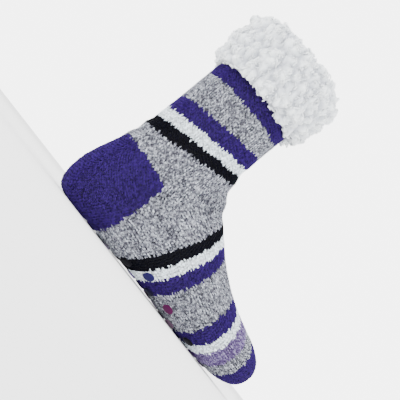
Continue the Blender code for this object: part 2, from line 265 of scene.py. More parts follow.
# The loose locks of fleece over the cuff. Pairs are the least, and how much more at most
TUFTS = 4400
TUFT_STATIONS = 7
TUFT_TURN = 0.7            # how far they stray from lying straight down, in radians
TUFT_BEND = (0.8, 0.8)
TUFT_LENGTH = (0.0036, 0.0030)
TUFT_LIFT = (0.0003, 0.0006)
TUFT_RADIUS = (0.00060, 0.00035)
TUFT_TAPER = 0.45          # how much thinner they are at the ends
TUFT_SINK = 0.0008         # how deep their middle lies
TUFT_ENDS_SINK = 0.0009    # and how much deeper their ends
TUFT_PAINTED_LIGHT = 0.15          # painted light: lighter than the fleece below, and painted shade at their ends, darker
TUFT_END_PAINTED_SHADE = -0.05

# The grip dots' shape and colours
GRIP_SIDES = 28
GRIP_RINGS = (
    # share of the radius, share of the thickness
    (0.60, -0.3),
    (0.97, -0.3),
    (1.00, 0.25),
    (0.95, 0.62),
    (0.82, 0.88),
    (0.58, 1.0),
    (0.28, 1.04),
)
GRIP_WOBBLE = ((0.02, 2), (0.012, 3))  # of the round edge: share of the radius, waves
GRIP_TINTS = {
    # colour, how clear
    "plum": ((0.028, 0.003, 0.042), 0.10),
    "slate": ((0.026, 0.020, 0.055), 0.15),
    "mauve": ((0.130, 0.100, 0.165), 0.45),
    "black": ((0.0018, 0.0015, 0.0040), 0.0),
    "periwinkle": ((0.070, 0.055, 0.210), 0.25),
    "lilac": ((0.115, 0.075, 0.240), 0.35),
    "indigo": ((0.009, 0.006, 0.060), 0.10),
    "navy": ((0.0035, 0.0018, 0.0180), 0.05),
    "rose": ((0.145, 0.065, 0.135), 0.45),
    "magenta": ((0.060, 0.002, 0.040), 0.10),
    "violet": ((0.025, 0.002, 0.065), 0.10),
}
GRIP_CLOUD = 0.8           # the darker tone of a dot, as a share of its colour
# Row by row from the heel, in each row from the right side of the foot
GRIP_COLOURS = (
    "plum",
    "mauve", "slate",
    "black", "black", "navy",
    "indigo", "lilac", "periwinkle", "navy",
    "navy", "black", "navy",
    "magenta", "mauve", "rose", "mauve",
    "rose", "rose", "magenta",
    "black", "navy", "navy", "navy",
    "violet", "violet", "violet",
    "violet", "indigo",
)

# Floor, light and camera
FLOOR_SIZE = 60.0
FLOOR_COLOUR = (0.94, 0.94, 0.94, 1.0)
SURROUND = 5.6             # brightness of the surround at eye level
OVERHEAD = 1.2             # and overhead
SURROUND_TOP = 0.42        # sine of the height where it starts to dim
SURROUND_FADE = 0.75       # sine of the height where it is dim
LAMPS = (
    # name, place, size, power
    ("key", (-0.8, -1.0, 1.7), 1.2, 30.0),
    ("top", (0.5, 0.6, 2.0), 1.6, 30.0),
)
CAMERA_AZIMUTH = math.radians(-23)
CAMERA_HEIGHT = 0.012
CAMERA_DISTANCE = 0.85
CAMERA_LENS = 88.0
CAMERA_ROLL = math.radians(52)
CAMERA_NEAR = 0.002        # the floor shows from this close, because the camera is so low
AIM = Vector((-0.025, 0.0105, 0.089))

random = np.random.default_rng(29)


# Small helpers for points and paths

def unit(vectors):
    """The vectors at a length of 1."""
    return vectors / np.maximum(np.linalg.norm(vectors, axis=-1, keepdims=True), 1e-12)


def reach_along(path):
    """The distance along a path to each of its points, or the mean one to each row of a grid."""
    steps = np.linalg.norm(np.diff(path, axis=0), axis=-1)
    if steps.ndim > 1:
        steps = steps.mean(axis=1)
    return np.concatenate([[0.0], np.cumsum(steps)])


def points_at(at, reach, path):
    """The points of a path at these distances along it."""
    return np.stack([np.interp(at, reach, column) for column in path.T], axis=-1)


def bisect(low, high, still_low, halvings):
    """The number between low and high up to which still_low is true."""
    for _ in range(halvings):
        middle = (low + high) / 2
        if still_low(middle):
            low = middle
        else:
            high = middle
    return (low + high) / 2


# The surface of the sock

def section_rows():
    """Every section: back x, back z, front x, front z, half width, sway, belly, flat, round."""
    bend_x = SHAFT_DEPTH + TENDON_HOLLOW + INSTEP_REACH
    rows = []
    for sole_x, top_x, sole_z, top_z, of_ball, of_heel, sway, belly, flat in FOOT_SECTIONS:
        sole = SOLE_CLEARANCE + sole_z * (TOE_SPRING - SOLE_CLEARANCE)
        rows.append((
            sole_x * FOOT_LENGTH,
            sole,
            bend_x + top_x * (FOOT_LENGTH - bend_x),
            max(top_z * INSTEP_HEIGHT, sole),
            (of_ball * BALL_WIDTH + of_heel * HEEL_WIDTH) / 2,
            sway * TOE_SWAY,
            belly,
            flat,
            SOLE_ROUND,
        ))
    for back_x, back_z, front_x, front_z, width, belly, flat, roundness in HEEL_SECTIONS:
        rows.append((
            back_x * FOOT_LENGTH,
            back_z * HEEL_HEIGHT,
            SHAFT_DEPTH + TENDON_HOLLOW + front_x * INSTEP_REACH,
            front_z * INSTEP_HEIGHT,
            width * HEEL_WIDTH / 2,
            0.0,
            belly,
            flat,
            roundness,
        ))
    for back_x, back_z, front_x, front_z, of_heel, of_shaft in LEG_SECTIONS:
        rows.append((
            back_x * TENDON_HOLLOW,
            HEEL_HEIGHT + back_z * (SHAFT_HEIGHT - HEEL_HEIGHT),
            SHAFT_DEPTH + front_x * TENDON_HOLLOW,
            INSTEP_HEIGHT + front_z * (SHAFT_HEIGHT - INSTEP_HEIGHT),
            (of_heel * HEEL_WIDTH + of_shaft * SHAFT_WIDTH) / 2,
            0.0,
            0.5,
            0.0,
            LEG_ROUND,
        ))
    return np.array(rows)


def monotone_slopes(values):
    """Slopes for a cubic through each column that never swings past its neighbours."""
    steps = np.diff(values, axis=0)
    slopes = np.zeros_like(values)
    before, after = steps[:-1], steps[1:]
    same_way = before * after > 0
    total = np.where(same_way, before + after, 1.0)
    slopes[1:-1] = np.where(same_way, 2 * before * after / total, 0.0)
    slopes[0], slopes[-1] = steps[0], steps[-1]
    return slopes


ROWS = section_rows()
SLOPES = monotone_slopes(ROWS)
LAST_ROW = len(ROWS) - 1
HEEL_ROW = len(FOOT_SECTIONS) - 1
LEG_ROW = len(FOOT_SECTIONS) + len(HEEL_SECTIONS)


def section(t):
    """The section's values at row number t, which need not be whole."""
    low = min(int(t), LAST_ROW - 1)
    u = t - low
    a, b = ROWS[low], ROWS[low + 1]
    sa, sb = SLOPES[low], SLOPES[low + 1]
    return (
        a * (1 + 2 * u) * (1 - u) ** 2
        + sa * u * (1 - u) ** 2
        + b * u * u * (3 - 2 * u)
        + sb * u * u * (u - 1)
    )


def half_section(t):
    """Close points of one section's half with their arc lengths, and the section's sway."""
    back_x, back_z, front_x, front_z, half, sway, belly, flat, roundness = section(t)
    angle = np.linspace(0, math.pi, ARC_SAMPLES)
    lower = angle < math.pi / 2
    power = np.where(lower, 2 / roundness, 2 / UPPER_ROUND)
    side = np.sin(angle) ** power * half
    rise = -np.sign(np.cos(angle)) * np.abs(np.cos(angle)) ** power
    deeper = 1 + FLAT_DEPTH * flat
    below = belly + belly * np.maximum(rise * deeper, -1)
    above = belly + (1 - belly) * rise
    share = np.where(lower, below, above)
    x = back_x + share * (front_x - back_x)
    z = np.maximum(back_z + share * (front_z - back_z), 0.0)
    points = np.stack([x, side, z], axis=1)
    return points, reach_along(points), sway


def ring(t, shares):
    """Points of a section at shares of its girth, from the sole's middle round by the right."""
    points, reach, sway = half_section(t)
    placed = points_at(np.where(shares <= 0.5, shares, 1 - shares) * 2 * reach[-1], reach, points)
    placed[:, 1] = placed[:, 1] * np.where(shares <= 0.5, -1, 1) + sway
    return placed


def surface_grid(rows, shares):
    return np.array([ring(t, shares) for t in rows])


def grid_normals(grid):
    """Outward unit normals of a grid whose second axis closes on itself."""
    along = np.gradient(grid, axis=0)
    round_it = np.roll(grid, -1, axis=1) - np.roll(grid, 1, axis=1)
    return unit(np.cross(round_it, along))


def even_rows(spacing):
    """Row numbers whose sections lie about this far apart along the sock."""
    fine = np.linspace(0, LAST_ROW, MEASURING_ROWS * LAST_ROW + 1)
    reach = reach_along(surface_grid(fine, np.arange(MEASURING_COLUMNS) / MEASURING_COLUMNS))
    return np.interp(np.linspace(0, reach[-1], round(reach[-1] / spacing) + 1), reach, fine)


def creased(grid):
    """The surface with its soft folds: each a trough with a low ridge on either side."""
    normal = grid_normals(grid)
    shift = np.zeros(grid.shape[:2])
    for x, z, heading, reach, width, depth in CREASES:
        angle = math.radians(heading)
        gone_x, gone_z = grid[..., 0] - x, grid[..., 2] - z
        along = gone_x * math.cos(angle) + gone_z * math.sin(angle)
        across = gone_x * math.sin(angle) - gone_z * math.cos(angle)
        fade = np.exp(-np.maximum(along, 0.0) ** 2 / (2 * (reach / 2) ** 2))
        trough = np.exp(-(across / width) ** 2)
        ridges = np.exp(-((np.abs(across) - 2 * width) / width) ** 2)
        shift += depth * fade * (along > -CREASE_LEAD) * (CREASE_RIDGE * ridges - trough)
    return grid + normal * shift[..., None]


def stripe_scale(t, points):
    """Where a section's points lie on the stripes.

    On the foot this is the distance along the sole, and on the heel and leg it is minus the
    height that the same stripe has behind the leg.
    """
    if t <= HEEL_ROW:
        return np.full(len(points), section(t)[0])
    to_front = np.clip((points[:, 0] - TENDON_HOLLOW) / SHAFT_DEPTH, 0, 1)
    lowest = (LEG_STRIPES[0][0] - HEEL_MARL, LEG_STRIPES[0][1] - HEEL_MARL)
    edges = [lowest] + [stripe[:2] for stripe in LEG_STRIPES] + [(SHAFT_HEIGHT, SHAFT_HEIGHT)]
    scale = np.full(len(points), -lowest[0])
    for (behind, ahead), (next_behind, next_ahead) in zip(edges, edges[1:]):
        low = behind + (ahead - behind) * to_front
        high = next_behind + (next_ahead - next_behind) * to_front
        share = (points[:, 2] - low) / (high - low)
        scale = np.where(share >= 0, -behind - share * (next_behind - behind), scale)
    return scale


def in_pocket(points):
    """How far inside the heel pocket each point lies, negative outside it."""
    front = POCKET_FRONT - points[..., 0]
    top = POCKET_TOP - POCKET_FALL * points[..., 0] - points[..., 2]
    return np.minimum(front, top)


def cell_bumps(u, v, size_u, size_v, period_u, seed):
    """Rounded bumps packed like pebbles over a surface that closes on itself along u."""
    cells_u = max(round(period_u / size_u), 1)
    maker = np.random.default_rng(seed)
    spots = maker.random((cells_u, CELL_ROWS, 2)) * 0.8 + 0.1
    heights = 0.75 + 0.25 * maker.random((cells_u, CELL_ROWS))
    gu, gv = u / period_u * cells_u, v / size_v
    iu, iv = np.floor(gu).astype(int), np.floor(gv).astype(int)
    best = np.full(u.shape, np.inf)
    second = np.full(u.shape, np.inf)
    tall = np.zeros(u.shape)
    for du in (-1, 0, 1):
        for dv in (-1, 0, 1):
            cell = (iu + du) % cells_u, (iv + dv) % CELL_ROWS
            spot = spots[cell]
            away = np.hypot(iu + du + spot[..., 0] - gu, iv + dv + spot[..., 1] - gv)
            nearer = away < best
            second = np.where(nearer, best, np.minimum(second, away))
            tall = np.where(nearer, heights[cell], tall)
            best = np.where(nearer, away, best)
    edge = np.clip((second - best) / CELL_EDGE, 0, 1)
    return tall * edge * edge * (3 - 2 * edge)


# Meshes from arrays

def to_row(points):
    """From the heel frame to the frame of the solids."""
    low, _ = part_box("knit_sock")
    return points + np.array([low.x, 0.0, 0.0])


def keep_off_floor(points):
    points[..., 2] = np.maximum(points[..., 2], FLOOR_GAP)
    return points


def signed_volume(points, groups):
    """Six times the volume inside the faces, negative if they point inwards."""
    total = 0.0
    for faces in groups:
        for k in range(1, faces.shape[1] - 1):
            a, b, c = points[faces[:, 0]], points[faces[:, k]], points[faces[:, k + 1]]
            total += (a * np.cross(b, c)).sum()
    return total


def new_mesh(name, points, groups):
    """A smooth mesh object from points and groups of faces, each an array of quads or triangles."""
    corners = np.concatenate([g.reshape(-1) for g in groups]).astype(np.int32)
    sizes = np.concatenate([np.full(len(g), g.shape[1]) for g in groups]).astype(np.int32)
    starts = np.concatenate([[0], np.cumsum(sizes)[:-1]]).astype(np.int32)
    data = bpy.data.meshes.new(name)
    data.vertices.add(len(points))
    data.vertices.foreach_set("co", points.astype(np.float32).reshape(-1))
    data.loops.add(len(corners))
    data.loops.foreach_set("vertex_index", corners)
    data.polygons.add(len(sizes))
    data.polygons.foreach_set("loop_start", starts)
    data.update(calc_edges=True)
    if signed_volume(points, groups) < 0:
        data.flip_normals()
    data.shade_smooth()
    piece = bpy.data.objects.new(name, data)
    bpy.context.scene.collection.objects.link(piece)
    return piece


def tag(piece, name, values):
    """A number for each vertex, which the materials read."""
    layer = piece.data.attributes.new(name, "FLOAT", "POINT")
    layer.data.foreach_set("value", values.astype(np.float32))


def wrapped_quads(rows, columns, flip=False):
    """Faces of a grid of points that closes round on itself."""
    i, j = np.meshgrid(np.arange(rows - 1), np.arange(columns), indexing="ij")
    here, beyond = i.reshape(-1) * columns, (i.reshape(-1) + 1) * columns
    j = j.reshape(-1)
    k = (j + 1) % columns
    quads = np.stack([here + j, here + k, beyond + k, beyond + j], axis=1)
    return quads[:, ::-1] if flip else quads


def spindle_faces(rings, count):
    """Faces of count spindles, each with four-cornered rings between two end points."""
    last = 4 * rings + 1
    sides = [(k, (k + 1) % 4) for k in range(4)]
    triangles = [(0, 1 + k, 1 + n) for k, n in sides]
    triangles += [(last, last - 4 + n, last - 4 + k) for k, n in sides]
    firsts = range(1, last - 4, 4)
    quads = [(a + k, a + 4 + k, a + 4 + n, a + n) for a in firsts for k, n in sides]
    start = (last + 1) * np.arange(count)[:, None, None]
    return [(np.array(part) + start).reshape(-1, len(part[0])) for part in (triangles, quads)]


def spindle_ring(middle, side, rise):
    return np.stack([middle + side, middle + rise, middle - side, middle - rise], axis=1)


# Materials

def set_sockets(node, values):
    for name, value in values.items():
        node.inputs[name].default_value = value


def new_material(name):
    made = bpy.data.materials.new(name)
    made.use_nodes = True
    nodes = made.node_tree.nodes
    nodes.clear()
    shader = nodes.new("ShaderNodeBsdfPrincipled")
    output = nodes.new("ShaderNodeOutputMaterial")
    link(made, shader.outputs["BSDF"], output.inputs["Surface"])
    return made, shader


def add_node(made, kind, **settings):
    new = made.node_tree.nodes.new(kind)
    for key, value in settings.items():
        setattr(new, key, value)
    return new


def link(made, source, target):
    made.node_tree.links.new(source, target)


def attribute(made, name):
    return add_node(made, "ShaderNodeAttribute", attribute_name=name).outputs["Fac"]


def noise(made, scale, detail):
    new = add_node(made, "ShaderNodeTexNoise")
    set_sockets(new, {"Scale": scale, "Detail": detail})
    return new.outputs["Fac"]


def math_node(made, operation, *values):
    """The result of a sum on numbers and other nodes' results."""
    new = add_node(made, "ShaderNodeMath", operation=operation)
    for socket, value in zip(new.inputs, values):
        if isinstance(value, (int, float)):
            socket.default_value = value
        else:
            link(made, value, socket)
    return new.outputs[0]


def mix_colours(made, factor, first, second):
    """From one colour to another as the factor goes from 0 to 1. Each may be a node's result."""
    new = add_node(made, "ShaderNodeMix", data_type="RGBA")
    link(made, factor, new.inputs["Factor"])
    for socket, colour in ((new.inputs[6], first), (new.inputs[7], second)):
        if isinstance(colour, tuple):
            socket.default_value = colour
        else:
            link(made, colour, socket)
    return new.outputs[2]


def ramp(made, factor, stops, interpolation):
    """A colour ramp with (position, colour with alpha) stops."""
    new = add_node(made, "ShaderNodeValToRGB")
    new.color_ramp.interpolation = interpolation
    elements = new.color_ramp.elements
    for number, (position, colour) in enumerate(stops):
        element = elements[number] if number < 2 else elements.new(position)
        element.position = position
        element.color = colour
    link(made, factor, new.inputs["Fac"])
    return new.outputs


def add_bump(made, shader, height, strength, distance):
    bump = add_node(made, "ShaderNodeBump")
    set_sockets(bump, {"Strength": strength, "Distance": distance})
    link(made, height, bump.inputs["Height"])
    link(made, bump.outputs["Normal"], shader.inputs["Normal"])


def stripe_stops():
    """Every stripe on the whole scale, from the cuff to the toe. Alpha is the share of marl."""
    leg_starts = [-behind for behind, _, _ in LEG_STRIPES]
    leg_colours = ["grey"] + [colour for _, _, colour in LEG_STRIPES]
    edges = list(zip([-BAND_REACH] + leg_starts[::-1], leg_colours[::-1]))
    foot_starts = [start for start, _ in FOOT_STRIPES[1:]]
    foot_colours = [colour for _, colour in FOOT_STRIPES[:-1]]
    edges += zip(foot_starts[::-1], foot_colours[::-1])
    stops = []
    for edge, name in edges:
        colour, marl_share = KNIT_COLOURS[name]
        stops.append(((edge + BAND_REACH) / (2 * BAND_REACH), (*colour, marl_share)))
    return stops


def knit_material(name, painted_shading, bump_size):
    """Chenille yarn: stripes by the band value, flecks of marl in the grey, a soft nap, and its tone
    scaled by a factor of painted shade, below 1 for the ground between the stitches.
    """
    made, shader = new_material(name)
    place = math_node(made, "MULTIPLY_ADD", attribute(made, "band"), 1 / (2 * BAND_REACH), 0.5)
    stripes = ramp(made, place, stripe_stops(), "CONSTANT")
    fleck = attribute(made, "fleck")
    specks = math_node(
        made, "MULTIPLY_ADD", noise(made, MARL_GRAIN, 1.0), MARL_SPECKS, MARL_OFFSET)
    yarn = math_node(made, "MULTIPLY_ADD", fleck, MARL_FLECKS, specks)
    marl = ramp(made, yarn, [(at, (*colour, 1.0)) for at, colour in MARL], "LINEAR")
    striped = mix_colours(made, stripes["Alpha"], stripes["Color"], marl["Color"])
    in_heel = math_node(made, "GREATER_THAN", attribute(made, "pocket"), 0.0)
    coloured = mix_colours(made, in_heel, striped, (*KNIT_COLOURS["purple"][0], 1.0))
    fibres = noise(made, FIBRE_GRAIN, 3.0)
    uneven = math_node(made, "ADD", fleck, fibres)
    # painted shade: this factor darkens the whole tone, for the ground between the stitches
    tone = math_node(made, "MULTIPLY_ADD", uneven, TONE_CONTRAST * painted_shading, TONE_OFFSET * painted_shading)
    toned = add_node(made, "ShaderNodeVectorMath", operation="SCALE")
    link(made, coloured, toned.inputs[0])
    link(made, tone, toned.inputs["Scale"])
    link(made, toned.outputs[0], shader.inputs["Base Color"])
    set_sockets(shader, {
        "Roughness": 0.95,
        "Specular IOR Level": 0.03,
        "Sheen Weight": 0.03,
        "Sheen Roughness": 0.5,
    })
    add_bump(made, shader, fibres, 0.6, bump_size)
    return made


def fleece_material(name, hollow_shade):
    """White sherpa: matt, with fine crimped fibres, and painted shade that makes its hollows cooler
    and darker.
    """
    made, shader = new_material(name)
    fibres = noise(made, 700.0, 4.0)
    uneven = math_node(made, "MULTIPLY_ADD", fibres, 0.5, -0.25)
    height = math_node(made, "ADD", attribute(made, "crest"), uneven)
    # painted shade: from the darker hollow tint to the fleece's own white, by the height on its clump
    tints = [(0.0, (*hollow_shade, 1.0)), (FLEECE_CREST, (*FLEECE, 1.0))]
    link(made, ramp(made, height, tints, "LINEAR")["Color"], shader.inputs["Base Color"])
    set_sockets(shader, {
        "Roughness": 1.0,
        "Specular IOR Level": 0.1,
        "Sheen Weight": 0.2,
        "Sheen Roughness": 0.6,
        "Subsurface Weight": 0.5,
        "Subsurface Radius": (1.0, 1.0, 1.0),
        "Subsurface Scale": 0.003,
    })
    add_bump(made, shader, fibres, 0.5, 0.0006)
    return made


def grip_material(name, colour, clear):
    """Tinted silicone, more or less clear, with a soft gloss."""
    made, shader = new_material(name)
    darker = tuple(GRIP_CLOUD * c for c in colour)
    tints = [(0.3, (*darker, 1.0)), (0.7, (*colour, 1.0))]
    cloud = ramp(made, noise(made, 500.0, 2.0), tints, "LINEAR")
    link(made, cloud["Color"], shader.inputs["Base Color"])
    set_sockets(shader, {
        "Roughness": 0.35,
        "IOR": 1.41,
        "Specular IOR Level": 0.06,
        "Transmission Weight": clear,
        "Coat Weight": 0.06,
        "Coat Roughness": 0.12,
    })
    return made


# The knit: a ground skin with its fleece lining, and the stitches that stand on it

def lining_clumps(grid):
    """The fleece's clumps over the inside, and how freely they stand, less in the foot."""
    size_round, size_along, seed = LINING_CLUMPS
    everywhere = np.ones(grid.shape[:2])
    turn = 2 * np.pi * np.arange(WALES) / WALES * everywhere
    girth = np.pi * SHAFT_WIDTH
    v = reach_along(grid)[:, None] * everywhere
    # Both directions waver, so that the clumps don't stand in rows
    u = turn / (2 * np.pi) * girth + 0.0040 * np.sin(v / 0.0075)
    v = v + 0.0050 * np.sin(7 * turn) + 0.0035 * np.sin(11 * turn + v / 0.02)
    in_leg = np.clip((grid[..., 2] - LINING_LOW) / LINING_FADE, 0, 1)
    return cell_bumps(u, v, size_round, size_along, girth, seed), in_leg


def knit_skin():
    """The ground of the knit and the fleece inside it, one closed shell."""
    rows = even_rows(GROUND_SPACING)
    grid = creased(surface_grid(rows, np.arange(WALES) / WALES))
    normal = grid_normals(grid)
    clumps, in_leg = lining_clumps(grid)
    depth = LINING_DEPTH + LINING_RELIEF * in_leg * clumps
    outside = grid - normal * SKIN_DEPTH
    inside = (grid - normal * depth[..., None])[::2]
    tips = np.array([outside[0].mean(axis=0), inside[0].mean(axis=0)])
    points = np.concatenate([outside.reshape(-1, 3), inside.reshape(-1, 3), tips])
    start = len(rows) * WALES
    tip_out, tip_in = len(points) - 2, len(points) - 1
    j = np.arange(WALES)
    k = (j + 1) % WALES
    top_out, top_in = start - WALES, tip_out - WALES
    outer = wrapped_quads(len(rows), WALES)
    inner = wrapped_quads(len(inside), WALES, flip=True) + start
    rim = np.stack([top_out + j, top_out + k, top_in + k, top_in + j], axis=1)
    cap_out = np.stack([k, j, np.full(WALES, tip_out)], axis=1)
    cap_in = np.stack([start + j, start + k, np.full(WALES, tip_in)], axis=1)
    groups = [outer, inner, rim, cap_out, cap_in]
    piece = new_mesh("knit_ground", keep_off_floor(to_row(points)), groups)

    def padded(values, rest):
        """The values of the outside's points, and one number for all others."""
        return np.concatenate([values, np.full(len(points) - start, rest)])

    bands = np.concatenate([stripe_scale(t, outline) for t, outline in zip(rows, grid)])
    tag(piece, "band", padded(bands, BAND_REACH))
    tag(piece, "pocket", padded(in_pocket(grid).reshape(-1), -1.0))
    tag(piece, "fleck", padded(random.random(start), 0.5))
    # the crest of the inner fleece's clumps, which sets its painted shade in the hollows
    tag(piece, "crest", np.concatenate([np.full(start, 0.5), clumps[::2].reshape(-1), [0.5, 0.5]]))
    # the ground between the stitches gets painted shade, darker than the stitches
    piece.data.materials.append(knit_material("knit_ground", GROUND_PAINTED_SHADE, 0.0004))
    piece.data.materials.append(fleece_material("lining_fleece", LINING_HOLLOW_SHADE))
    kinds = np.zeros(len(piece.data.polygons), np.int32)
    kinds[len(outer):len(outer) + len(inner) + len(rim)] = 1
    piece.data.polygons.foreach_set("material_index", kinds)
    return piece


def stitch_places():
    """For every side of every stitch: place, outward, along, room, stripe scale and column."""
    rows = even_rows(PATH_SPACING)
    columns = 2 * WALES
    grid = creased(surface_grid(rows, (np.arange(columns) + 0.5) / columns))
    normal = grid_normals(grid)
    bands = np.array([stripe_scale(t, outline) for t, outline in zip(rows, grid)])
    found = []
    for j in range(columns):
        path, next_path = grid[:, j], grid[:, (j + 1) % columns]
        reach = reach_along(path)
        count = int(reach[-1] / COURSE_PITCH)
        first = FIRST_COURSE + COURSE_STAGGER * (j // 2 % 2)
        at = (np.arange(count) + first) * COURSE_PITCH
        at = at + random.normal(0, COURSE_SPREAD * COURSE_PITCH, count)
        at = np.clip(at, 0, reach[-1] - PATH_END)
        ahead = points_at(at + PATH_PROBE, reach, path)
        behind = points_at(at - PATH_PROBE, reach, path)
        room = np.interp(at, reach, np.linalg.norm(next_path - path, axis=1))
        kept = random.random(count) < room / (CROWDED * LEG_WIDTH)
        parts = (
            points_at(at, reach, path),
            unit(points_at(at, reach, normal[:, j])),
            unit(ahead - behind),
            room,
            np.interp(at, reach, bands[:, j]),
            np.full(count, j),
        )
        found.append([part[kept] for part in parts])
    return [np.concatenate(parts) for parts in zip(*found)]


def stitch_shapes(place, up, along, room, column):
    """The points of every side of every stitch, a short thick spindle of fuzzy yarn."""
    at_tip = np.clip((place[:, 0] - TOE_TURN) / (FOOT_LENGTH - TOE_TURN), 0, 1)[:, None] ** 2
    over_toe = np.cross(up, (0.0, 1.0, 0.0))
    over_toe *= np.sign((over_toe * along).sum(axis=1, keepdims=True) + 1e-6)
    along = unit(along * (1 - at_tip) + over_toe * at_tip)
    across = unit(np.cross(along, up))
    count = len(place)
    lean = np.where(column % 2 == 0, 1.0, -1.0)
    squeeze = np.clip(room / (LEG_WIDTH * SQUEEZE), SQUEEZE, SQUEEZE_MOST)
    length = COURSE_PITCH * (LEG_LENGTH + LENGTH_SPREAD * random.standard_normal(count))
    half_width = LEG_WIDTH / 2 * squeeze * (1 + SIZE_SPREAD * random.standard_normal(count))
    half_height = LEG_HEIGHT / 2 * (1 + SIZE_SPREAD * random.standard_normal(count))
    depth = LEG_DEPTH + DEPTH_SPREAD * random.standard_normal(count)
    slant = (LEG_SLANT * lean + SLANT_SPREAD * random.standard_normal(count)) * squeeze
    centre = place - up * depth[:, None]
    side, rise = across * half_width[:, None], up * half_height[:, None]

    def middle(share):
        return centre + along * (length * share)[:, None] + across * (slant * 2 * share)[:, None]

    start, end = ((middle(share) - up * sink)[:, None] for share, sink in LEG_POINTS)
    rings = [spindle_ring(middle(share), side, rise) for share in LEG_RINGS]
    return np.concatenate([start, *rings, end], axis=1)


def knit_stitches():
    """Both sides of every V in a few joined pieces."""
    place, up, along, room, band, column = stitch_places()
    points = stitch_shapes(place, up, along, room, column)
    count, per = points.shape[:2]
    tooth = random.normal(0, STRIPE_TEETH / 2, 2 * WALES)[column]
    tooth = tooth + random.normal(0, STRIPE_TEETH / 2, count)
    pocket = in_pocket(place) + tooth
    band = band + tooth
    # painted shade: one side of each V darker than the other, on top of a random tone for each column
    wale_tone_and_side_shade = V_SIDE_PAINTED_SHADE * (column % 2) + WALE_FLECK * random.random(2 * WALES)[column]
    fleck = STITCH_FLECK * random.random((count, 2)) + wale_tone_and_side_shade[:, None]
    fleck = np.repeat(fleck, per // 2, axis=1)
    zones = np.digitize(band, STITCH_ZONES)
    shown = knit_material("knit_yarn", 1.0, 0.0003)
    pieces = []
    for zone, name in enumerate(STITCH_PIECES):
        chosen = np.flatnonzero(zones == zone)
        placed = keep_off_floor(to_row(points[chosen].reshape(-1, 3)))
        piece = new_mesh(name, placed, spindle_faces(len(LEG_RINGS), len(chosen)))
        tag(piece, "band", np.repeat(band[chosen], per))
        tag(piece, "pocket", np.repeat(pocket[chosen], per))
        tag(piece, "fleck", fleck[chosen].reshape(-1))
        piece.data.materials.append(shown)
        pieces.append(piece)
    return pieces


# The fleece cuff

def cuff_profile(count):
    """Even points round the cuff's cut face, as (distance outside the knit, height), and its girth."""
    top = SHAFT_HEIGHT
    hem = top + CUFF_ROLL - CUFF_HEIGHT
    inside = -KNIT_WALL - SEAT_GAP
    pile_in = inside - LINING_THICKNESS
    out = CUFF_THICKNESS
    corners = np.array([
        (SEAT_GAP, hem + 0.05 * CUFF_HEIGHT),
        (SEAT_GAP, (hem + top) / 2),
        (SEAT_GAP, top + SEAT_GAP),
        (inside, top + SEAT_GAP),
        (inside, top - LINING_TUCK),
        (pile_in, top - LINING_TUCK),
        (pile_in, top - 0.5 * LINING_TUCK),
        (1.10 * pile_in, top + 0.10 * CUFF_ROLL),
        (0.80 * pile_in, top + 0.62 * CUFF_ROLL),
        (0.25 * pile_in, top + 0.94 * CUFF_ROLL),
        (0.28 * out, top + 0.98 * CUFF_ROLL),
        (0.66 * out, top + 0.72 * CUFF_ROLL),
        (0.92 * out, top + 0.10 * CUFF_ROLL),
        (1.00 * out, top - 0.14 * CUFF_HEIGHT),
        (1.02 * out, top - 0.28 * CUFF_HEIGHT),
        (1.00 * out, top - 0.42 * CUFF_HEIGHT),
        (0.95 * out, top - 0.55 * CUFF_HEIGHT),
        (0.84 * out, hem + 0.13 * CUFF_HEIGHT),
        (0.60 * out, hem + 0.03 * CUFF_HEIGHT),
        (0.30 * out, hem),
    ])
    closed = np.concatenate([corners, corners[:1]])
    reach = reach_along(closed)
    return points_at(np.arange(count) / count * reach[-1], reach, closed), reach[-1]


def leg_frames(heights, count):
    """For each height, the knit's outline there and the level direction out of it."""
    shares = np.arange(count) / count

    def height_of(t):
        return section(t)[[1, 3]].mean()

    outlines, directions = [], []
    for z in heights:
        row = bisect(float(LEG_ROW), float(LAST_ROW), lambda t: height_of(t) < z, 30)
        outline = ring(row, shares)
        outline[:, 2] += z - height_of(row)
        along = np.roll(outline, -1, axis=0) - np.roll(outline, 1, axis=0)
        outward = unit(np.stack([along[:, 1], -along[:, 0], np.zeros(count)], axis=1))
        middle = outline.mean(axis=0)
        outward *= np.sign(((outline - middle) * outward).sum(axis=1))[:, None]
        outlines.append(outline)
        directions.append(outward)
    return np.array(outlines), np.array(directions)


def cuff_normals(base):
    along = np.roll(base, -1, axis=0) - np.roll(base, 1, axis=0)
    round_it = np.roll(base, -1, axis=1) - np.roll(base, 1, axis=1)
    return unit(np.cross(along, round_it))


